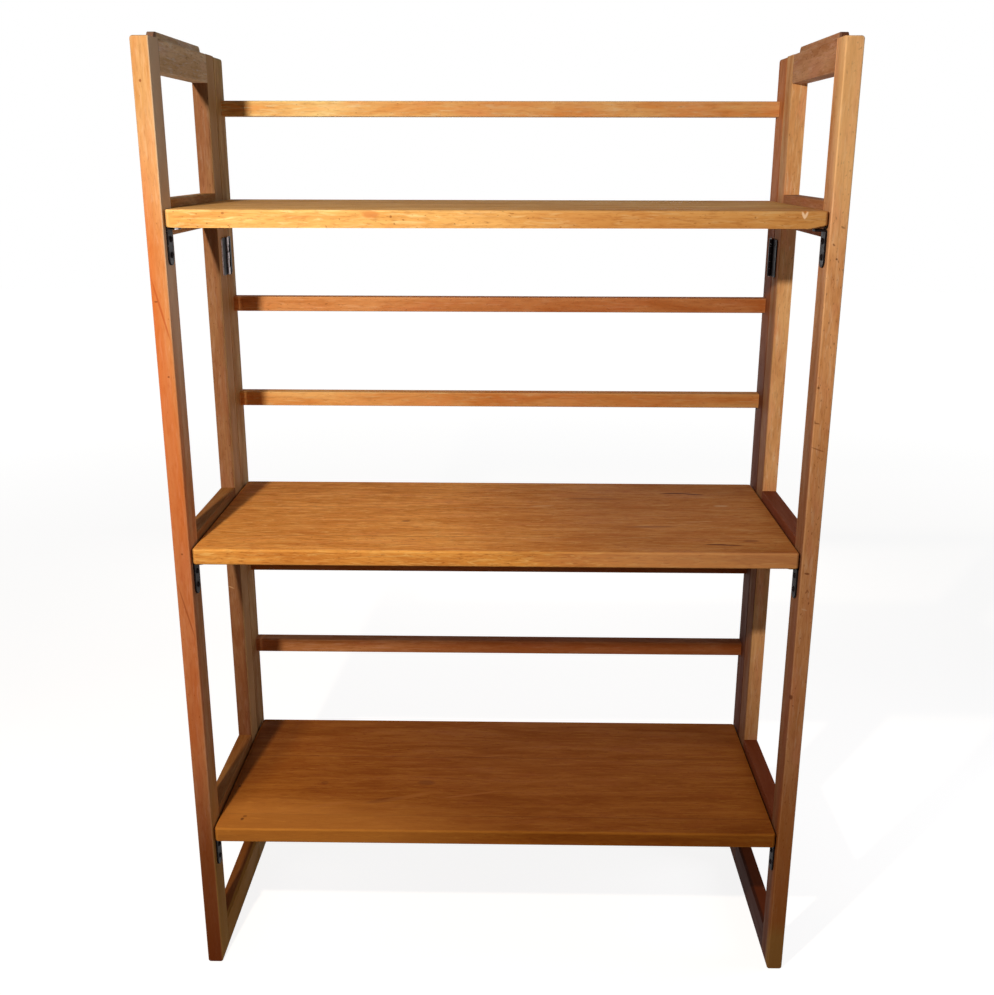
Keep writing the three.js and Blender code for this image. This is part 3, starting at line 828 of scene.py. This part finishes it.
hole_radius = SHANK_RADIUS + SCREW_CLEARANCE
mouth_radius = SINK_RADIUS + SCREW_CLEARANCE
hole_end = LEAF_THICKNESS + CUT_OVERRUN
sink = (
    (-CUT_OVERRUN, 0), (-CUT_OVERRUN, mouth_radius), (0, mouth_radius),
    (SINK_DEPTH, hole_radius), (hole_end, hole_radius), (hole_end, 0),
)
countersunk_screw = (
    (0, 0), (0, SINK_RADIUS), (SINK_DEPTH, SHANK_RADIUS),
    (HINGE_SCREW_LENGTH - SCREW_POINT, SHANK_RADIUS), (HINGE_SCREW_LENGTH, 0),
)
japanned_screw = japanned_steel("japanned_steel_screw", 0)
pin_steel = drawn_steel("drawn_steel_hinge_pin", Z)
screw_count = 0
for side, sign in SIDES.items():
    into_wood = Vector((sign, 0, 0))
    japanned_hinge = japanned_steel(f"japanned_steel_{side}_hinges", BARE_WEAR_AND_HIGHLIGHT[side])
    for level in HINGE_LEVELS:
        hinge = f"{level}_{side}_hinge"
        pin_low, pin_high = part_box(f"{hinge}_pin")
        axis = (pin_low + pin_high) / 2
        pin_radius = (pin_high.x - pin_low.x) / 2
        for leaf, towards_back in (("frame_leaf", -1), ("back_leaf", 1)):
            low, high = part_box(f"{hinge}_{leaf}")
            wood_x = high.x if sign > 0 else low.x
            sheet_x = wood_x - sign * LEAF_THICKNESS
            near_y = axis.y + towards_back * LEAF_SETBACK
            far_y = high.y if towards_back > 0 else low.y
            sheet = new_mesh()
            add_block(sheet, (wood_x, near_y, low.z), (sheet_x, far_y, high.z))
            ease(sheet, edges_along(sheet, X, {Y: far_y}), LEAF_CORNER)
            pitch = (high.z - low.z) / KNUCKLES
            first = 0 if leaf == "frame_leaf" else 1
            strips = [
                (low.z + index * pitch + KNUCKLE_GAP / 2, low.z + (index + 1) * pitch - KNUCKLE_GAP / 2)
                for index in range(first, KNUCKLES, 2)
            ]
            for bounds in strips:
                for z in bounds:
                    split(sheet, (0, 0, z), (0, 0, 1))
            ends = [
                face for face in sheet.faces
                if is_at(face.calc_center_median(), {Y: near_y})
                and any(bottom < face.calc_center_median().z < top for bottom, top in strips)
            ]
            tang_faces = pull_out(sheet, ends, (0, axis.y - near_y, 0))
            bmesh.ops.spin(
                sheet, geom=tang_faces, cent=axis, axis=(0, 0, 1),
                angle=-sign * towards_back * ROLL_ANGLE, steps=ROLL_STEPS,
            )
            bmesh.ops.delete(sheet, geom=tang_faces, context="FACES_ONLY")
            bmesh.ops.remove_doubles(sheet, verts=sheet.verts, dist=MERGE_DISTANCE)
            bmesh.ops.recalc_face_normals(sheet, faces=sheet.faces)
            worn_and_highlit = sheet.faces.layers.float["worn_and_highlit_edge"]
            # Knuckle faces that face the front are marked bare, partly as a painted highlight along the
            # barrel.
            for face in sheet.faces:
                if face.normal.y < HIGHLIT_CREST_FACING and face.calc_center_median().y < axis.y - pin_radius:
                    face[worn_and_highlit] = 1
            piece = make_piece(f"{hinge}_{leaf}_rolled", sheet, japanned_hinge)

            sinks = bmesh.new()
            screws = bmesh.new()
            slots = bmesh.new()
            for y, z in hinge_screw_places(level, side, leaf):
                top = Vector((sheet_x, y, z))
                add_turned(sinks, top, into_wood, sink)
                add_turned(screws, top, into_wood, countersunk_screw)
                add_slot(slots, top, into_wood, SINK_RADIUS, SLOT_TURNS[screw_count % len(SLOT_TURNS)])
                screw_count += 1
            bmesh.ops.recalc_face_normals(sinks, faces=sinks.faces)
            cut_away(piece, sinks)
            fit(piece, "frame", f"{hinge}_{leaf}")
            screw_piece = make_piece(f"{hinge}_{leaf}_screws", screws, japanned_screw)
            cut_away(screw_piece, slots)
            fit(screw_piece, "frame", None)

        pin = bmesh.new()
        pin_length = pin_high.z - pin_low.z
        pin_top = Vector((axis.x, axis.y, pin_high.z))
        crown = dome(PIN_DOME, pin_radius, PIN_DOME_STEPS)
        foot = [(pin_length - depth, radius) for depth, radius in reversed(crown)]
        add_turned(pin, pin_top, Vector((0, 0, -1)), crown + foot)
        piece = make_piece(f"{hinge}_pin_domed", pin, pin_steel)
        fit(piece, "frame", f"{hinge}_pin")

# Shelves
# Three shelves of solid beech, edge-glued from boards with the grain from side to side. Their front
# corners are rounded and worn, and each end is bored near the rear edge for the pin that it turns on.
SHELF_EASE = 2.2 * MM
SHELF_CORNER_RADIUS = 4 * MM
CORNER_STEPS = 5
WORN_CORNER_ROUND = 1.2 * MM
WORN_CORNER_LENGTH = 20 * MM
WORN_CORNER_RISE = 4.5 * MM
WORN_CORNER_DEPTH = 26 * MM
CHIP_PLACE = Vector((306.7, -140, 894.5)) * MM
CHIP_SIDE = 3.4 * MM
CHIP_TURN = Matrix.Rotation(math.pi / 4, 3, "Y") @ Matrix.Rotation(math.pi / 5, 3, "X")
SHELF_GRAIN = ((11, 0, 0.06), (1.9, 0.41, 0))
SHELVES = {
    "upper": {
        "tones": ("#f3c074", "#d4964d", "#e5a863"), "joints": (10 * MM,),
        "flecked": 0.02, "lively": 1.3,
        "marks": (
            # Painted shade: the front edge darker towards the right.
            ((330, -140, 885), (760, 200, 90), "#b0642a", 0.42),
            ((-272, -140, 891), (4, 6, 3), "#8a4c22", 0.6),
            ((-124, -140, 890), (20, 5, 9), "#c9743e", 0.5),
            ((-104, -140, 888), (3, 4, 3), "#7a3f1c", 0.6),
            ((-196, -140, 887), (30, 5, 3), "#c47c40", 0.4, -8, 0),
            ((305.4, -140, 890.4), (3, 8, 9), "#ffdcb8", 0.9, -24, 0),
            ((308, -140, 890.4), (3, 8, 9), "#ffdcb8", 0.9, 24, 0),
        ),
    },
    "middle": {
        "tones": ("#f2aa52", "#cd8137", "#e09049"), "joints": (-90 * MM, 20 * MM),
        "lively": 1.8,
        "marks": (
            ((226, 86, 535), (46, 6, 6), "#2e0e04", 0.9, 0, 3),
            ((250, 81, 535), (30, 6, 6), "#38140a", 0.85, 0, -6),
            ((244, -111, 535), (30, 4.4, 6), "#2e0e04", 0.9, 0, 4),
            ((260, -113, 535), (34, 4.4, 6), "#38140a", 0.85, 0, -3),
            ((236, -30, 535), (46, 5, 6), "#eab878", 0.45, 0, 5),
            ((292, -62, 535), (40, 5, 6), "#eab878", 0.45, 0, -4),
            ((286, -98, 535), (22, 7, 6), "#55280f", 0.6),
            ((180, -50, 535), (70, 7, 6), "#5e3016", 0.5, 0, 3),
            ((120, 60, 535), (90, 8, 6), "#6a3818", 0.45, 0, -2),
            ((275, 33, 535), (22, 7, 6), "#f4d098", 0.7),
            ((55, 28, 535), (34, 7, 6), "#ecbc7c", 0.6, 0, 8),
            ((-106, -35, 535), (12, 9, 5), "#7a4420", 0.5),
            ((-225, -60, 535), (60, 26, 5), "#e0a055", 0.35, 0, 12),
            # Painted shade over the right half, then painted light on the right part of the front edge.
            ((420, 20, 537), (1000, 900, 60), "#74402a", 0.5),
            ((330, -142, 526), (640, 14, 60), "#e8a878", 0.3),
        ),
    },
    "lower": {
        # Darker, redder tones than the upper shelves, partly as painted shade.
        "tones": ("#e18c2b", "#b2641b", "#c66f23"), "joints": (-108 * MM, 30 * MM),
        "flecked": 0.01, "lively": 1.4,
        "marks": (
            # Painted light on the left part of the front edge, then a painted shadow of the left front
            # stile at the left rear.
            ((-340, -150, 184), (760, 190, 90), "#e89c48", 0.36),
            ((-312, 100, 186), (110, 480, 8), "#54280c", 0.34, 0, -8),
            ((-300, -113, 186), (6, 5, 5), "#5a2a10", 0.5),
            ((-322, -46, 186), (4, 5, 5), "#3c1c0c", 0.8),
            ((-302, -119, 186), (5, 6, 5), "#4a2410", 0.7),
            ((-135, -74, 186), (60, 12, 5), "#6a3414", 0.35, 0, 16),
            ((-112, -68, 186), (70, 10, 5), "#cc8440", 0.28, 0, 18),
            ((-205, -86, 186), (52, 9, 5), "#c27a3c", 0.3, 0, 14),
            ((-88, -33, 186), (26, 14, 5), "#6a3414", 0.45),
            ((-216, -36, 186), (12, 10, 5), "#6a3414", 0.4),
            ((-30, -60, 186), (80, 6, 5), "#c27a3c", 0.4, 0, 14),
            # Painted shade over the right half.
            ((420, 0, 189), (1500, 900, 60), "#582a0e", 0.4),
        ),
    },
}

for number, (level, facts) in enumerate(SHELVES.items()):
    low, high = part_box(f"{level}_shelf")
    board = new_mesh()
    add_block(board, low, high)
    ease(board, edges_along(board, Z), SHELF_CORNER_RADIUS, CORNER_STEPS)
    if level == "upper":
        corner = Vector((high.x, low.y, low.z))
        corner_cut = corner - Vector((WORN_CORNER_LENGTH, 0, 0))
        normal = Vector((1 / WORN_CORNER_LENGTH, -1 / WORN_CORNER_DEPTH, -1 / WORN_CORNER_RISE))
        cut = split(board, corner_cut, normal.normalized(), clear_outer=True)
        rim = [item for item in cut if isinstance(item, bmesh.types.BMEdge)]
        bmesh.ops.holes_fill(board, edges=rim)
        ease(board, [edge for edge in rim if edge.is_valid], WORN_CORNER_ROUND)
    for face_z in (low.z, high.z):
        ease(board, edges_in_plane(board, Z, face_z), SHELF_EASE)
    wood = oiled_beech(f"{level}_shelf", X, grain_start(SHELF_GRAIN, number), **facts)
    piece = make_piece(f"{level}_shelf_board", board, wood)
    cuts = bmesh.new()
    for side in SIDES:
        add_pivot_bore(cuts, f"{level}_{side}_pivot_pin")
    if level == "upper":
        half_chip = Vector([CHIP_SIDE / 2] * 3)
        chip = add_block(cuts, CHIP_PLACE - half_chip, CHIP_PLACE + half_chip)
        bmesh.ops.rotate(cuts, cent=CHIP_PLACE, matrix=CHIP_TURN, verts=chip)
    cut_away(piece, cuts)
    fit(piece, f"{level}_shelf_body", f"{level}_shelf")

# Shelf pivot pins
# Six short pins of drawn steel with chamfered ends, fixed in the back stiles. They stand in bores in
# the ends of the shelves, which turn on them.
PIN_CHAMFER = 0.5 * MM

pivot_steel = drawn_steel("drawn_steel_pivot_pin", X)
for level in SHELF_LEVELS:
    for side in SIDES:
        pin_name = f"{level}_{side}_pivot_pin"
        low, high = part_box(pin_name)
        middle = (low + high) / 2
        radius = (high.z - low.z) / 2
        length = high.x - low.x
        profile = (
            (0, 0), (0, radius - PIN_CHAMFER), (PIN_CHAMFER, radius),
            (length - PIN_CHAMFER, radius), (length, radius - PIN_CHAMFER), (length, 0),
        )
        pin = bmesh.new()
        add_turned(pin, Vector((low.x, middle.y, middle.z)), Vector((1, 0, 0)), profile)
        piece = make_piece(f"{pin_name}_chamfered", pin, pivot_steel)
        fit(piece, frame["nodes"][pin_name]["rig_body"], pin_name)

# Shelf brackets
# Six small angle brackets of bent steel strip, black japanned, one under each front corner of a
# shelf. The upright has a half round lower end and is held to the front stile by two round headed
# screws, and the shelf rests on the short leg.
STRIP_THICKNESS = 2 * MM
BEND_RADIUS = 2.6 * MM
INNER_BEND_RADIUS = 0.6 * MM
LEG_CORNER_RADIUS = 3 * MM
STRIP_EDGE = 0.35 * MM
STRIP_EDGE_STEPS = 2
HARD_EDGE = math.radians(60)
HALF_ROUND_STEPS = 10
HALF_ROUND_GAP = 0.05 * MM
HEAD_RADIUS = 3.2 * MM
HEAD_HEIGHT = 1.8 * MM
HEAD_STEPS = 6

japanned_brackets = {
    side: japanned_steel(f"japanned_steel_{side}_brackets", wear) for side, wear in BARE_WEAR_AND_HIGHLIGHT.items()
}
for level in SHELF_LEVELS:
    for side, sign in SIDES.items():
        into_wood = Vector((sign, 0, 0))
        name = f"{level}_{side}_bracket"
        low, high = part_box(name)
        wood_x, tip_x = (high.x, low.x) if sign > 0 else (low.x, high.x)
        face_x = wood_x - sign * STRIP_THICKNESS
        bend_z = high.z - STRIP_THICKNESS
        strip = new_mesh()
        add_block(strip, (wood_x, low.y, low.z), (face_x, high.y, high.z))
        foot = edges_along(strip, X, {Z: low.z})
        round_off(strip, foot, (high.y - low.y) / 2 - HALF_ROUND_GAP, HALF_ROUND_STEPS)
        split(strip, (0, 0, bend_z), (0, 0, 1))
        mouth = [
            face for face in strip.faces
            if is_at(face.calc_center_median(), {X: face_x}) and face.calc_center_median().z > bend_z
        ]
        pull_out(strip, mouth, (tip_x - face_x, 0, 0))
        seam = [
            e for e in edges_in_plane(strip, Z, bend_z) if any(is_at(v.co, {X: wood_x}) for v in e.verts)
        ]
        bmesh.ops.dissolve_edges(strip, edges=seam, use_verts=True)
        ease(strip, edges_along(strip, Z, {X: tip_x}), LEG_CORNER_RADIUS)
        outer_bend = edges_along(strip, Y, {X: wood_x, Z: high.z})
        inner_bend = edges_along(strip, Y, {X: face_x, Z: bend_z})
        round_off(strip, outer_bend, BEND_RADIUS, EASE_STEPS)
        round_off(strip, inner_bend, INNER_BEND_RADIUS, EASE_STEPS)
        rim = [e for e in strip.edges if e.calc_face_angle(0) > HARD_EDGE]
        ease(strip, rim, STRIP_EDGE, STRIP_EDGE_STEPS)
        piece = make_piece(f"{name}_bent", strip, japanned_brackets[side])

        screw_names = [f"{name}_screw_{index}" for index in BRACKET_SCREWS]
        holes = bmesh.new()
        for screw_name in screw_names:
            _, y, z = middle_of(screw_name)
            hole_x = wood_x - sign * STRIP_THICKNESS / 2
            add_bar(holes, (hole_x, y, z), hole_radius, STRIP_THICKNESS + 2 * CUT_OVERRUN)
        cut_away(piece, holes)
        fit(piece, "frame", name)

        for screw_name in screw_names:
            low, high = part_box(screw_name)
            _, y, z = middle_of(screw_name)
            top = Vector((low.x if sign > 0 else high.x, y, z))
            length = high.x - low.x
            profile = dome(HEAD_HEIGHT, HEAD_RADIUS, HEAD_STEPS) + [
                (HEAD_HEIGHT, SHANK_RADIUS), (length - SCREW_POINT, SHANK_RADIUS), (length, 0),
            ]
            screw = bmesh.new()
            add_turned(screw, top, into_wood, profile)
            piece = make_piece(f"{screw_name}_round_head", screw, japanned_screw)
            slot = bmesh.new()
            add_slot(slot, top, into_wood, HEAD_RADIUS, SLOT_TURNS[screw_count % len(SLOT_TURNS)])
            screw_count += 1
            cut_away(piece, slot)
            fit(piece, "frame", screw_name)

# Camera
# At eye height in front of the bookcase, a little right of its middle, looking slightly down. The
# focal length is in pixels of the picture, and the turns are in radians.
IMAGE_SIDE = 995
FOCAL_LENGTH = 1126.56
SENSOR = 36
CAMERA_PLACE = Vector((20.92, -1292.6, 946.24)) * MM
CAMERA_PITCH = 0.29456
CAMERA_YAW = 0.01595
CAMERA_ROLL = 0.00212

camera_data = bpy.data.cameras.new("camera")
camera_data.sensor_fit = "AUTO"
camera_data.sensor_width = SENSOR
camera_data.lens = FOCAL_LENGTH / IMAGE_SIDE * SENSOR
camera = place_object("camera", camera_data)
camera.matrix_world = (
    Matrix.Translation(CAMERA_PLACE)
    @ Matrix.Rotation(CAMERA_YAW, 4, "Z")
    @ Matrix.Rotation(math.pi / 2 - CAMERA_PITCH, 4, "X")
    @ Matrix.Rotation(CAMERA_ROLL, 4, "Z")
)
bpy.context.scene.camera = camera

# Studio
# A white floor that keeps the shadow. One warm lamp stands near the upper shelf on the left, so the
# lower shelves are darker, and tall soft boxes at the sides and behind fill the shade.
FLOOR_SIDE = 14
FLOOR_COLOUR = "#a09b96"
FLOOR_GLOW = {"From Min": 1, "From Max": 3.2, "To Min": 0.87, "To Max": 1}
ROOM_LEVEL = {"To Min": 0.05, "To Max": 1}
# Each lamp: its shape, its place and target in mm, its size in m, its power in watts, its colour
LAMPS = {
    "near_lamp": ("ELLIPSE", (-432, -960, 1170), (0, 0, 560), (0.04, 0.04), 12.8, "#fff1de"),
    "left_box": ("RECTANGLE", (-1150, 0, 560), (0, 0, 560), (0.5, 1.3), 2.5, "#f4f4ff"),
    "right_box": ("RECTANGLE", (1150, 0, 700), (0, 0, 700), (0.5, 1.3), 5.6, "#e6efff"),
    "back_box": ("RECTANGLE", (0, 1500, 560), (0, 0, 560), (1.2, 1.2), 5, "#ffffff"),
}

floor_mesh = bmesh.new()
bmesh.ops.create_grid(floor_mesh, x_segments=1, y_segments=1, size=FLOOR_SIDE / 2)
floor = place_object("floor", floor_mesh)
white_paper, floor_tree = new_material("white_paper")
floor.data.materials.append(white_paper)
world = bpy.data.worlds.new("pale_room")
bpy.context.scene.world = world
world.use_nodes = True
world.node_tree.nodes.clear()
seen = []
for tree in (floor_tree, world.node_tree):
    rays = add(tree, "LightPath")
    camera_or_glossy = add(
        tree, "Math", {"operation": "MAXIMUM"},
        links={0: rays.outputs["Is Camera Ray"], 1: rays.outputs["Is Glossy Ray"]},
    )
    seen.append(add(
        tree, "Math", {"operation": "MAXIMUM"},
        links={0: camera_or_glossy, 1: rays.outputs["Is Transmission Ray"]},
    ))
floor_seen, world_seen = seen

paper = add(floor_tree, "BsdfDiffuse", values={"Color": linear(FLOOR_COLOUR)})
place = add(floor_tree, "TexCoord")
away = add(floor_tree, "VectorMath", {"operation": "LENGTH"}, links={0: place.outputs["Object"]})
whiter = add(floor_tree, "MapRange", values=FLOOR_GLOW, links={"Value": away.outputs["Value"]})
glow_level = add(floor_tree, "Math", {"operation": "MULTIPLY"}, links={0: whiter, 1: floor_seen})
glow = add(floor_tree, "Emission", links={"Strength": glow_level})
both = add(floor_tree, "AddShader", links={0: paper, 1: glow})
add(floor_tree, "OutputMaterial", links={"Surface": both})

tree = world.node_tree
level = add(tree, "MapRange", values=ROOM_LEVEL, links={"Value": world_seen})
room = add(tree, "Background", values={"Color": (1, 1, 1, 1)}, links={"Strength": level})
add(tree, "OutputWorld", links={"Surface": room})

for name, (shape, lamp_place, target, size, power, lamp_colour) in LAMPS.items():
    lamp_data = bpy.data.lights.new(name, "AREA")
    lamp_data.shape = shape
    lamp_data.size, lamp_data.size_y = size
    lamp_data.energy = power
    lamp_data.color = linear(lamp_colour)[:3]
    lamp = place_object(name, lamp_data)
    lamp.visible_camera = False
    lamp.location = Vector(lamp_place) * MM
    lamp.rotation_euler = (Vector(target) * MM - lamp.location).to_track_quat("-Z", "Y").to_euler()

bpy.context.scene.view_settings.view_transform = "Standard"
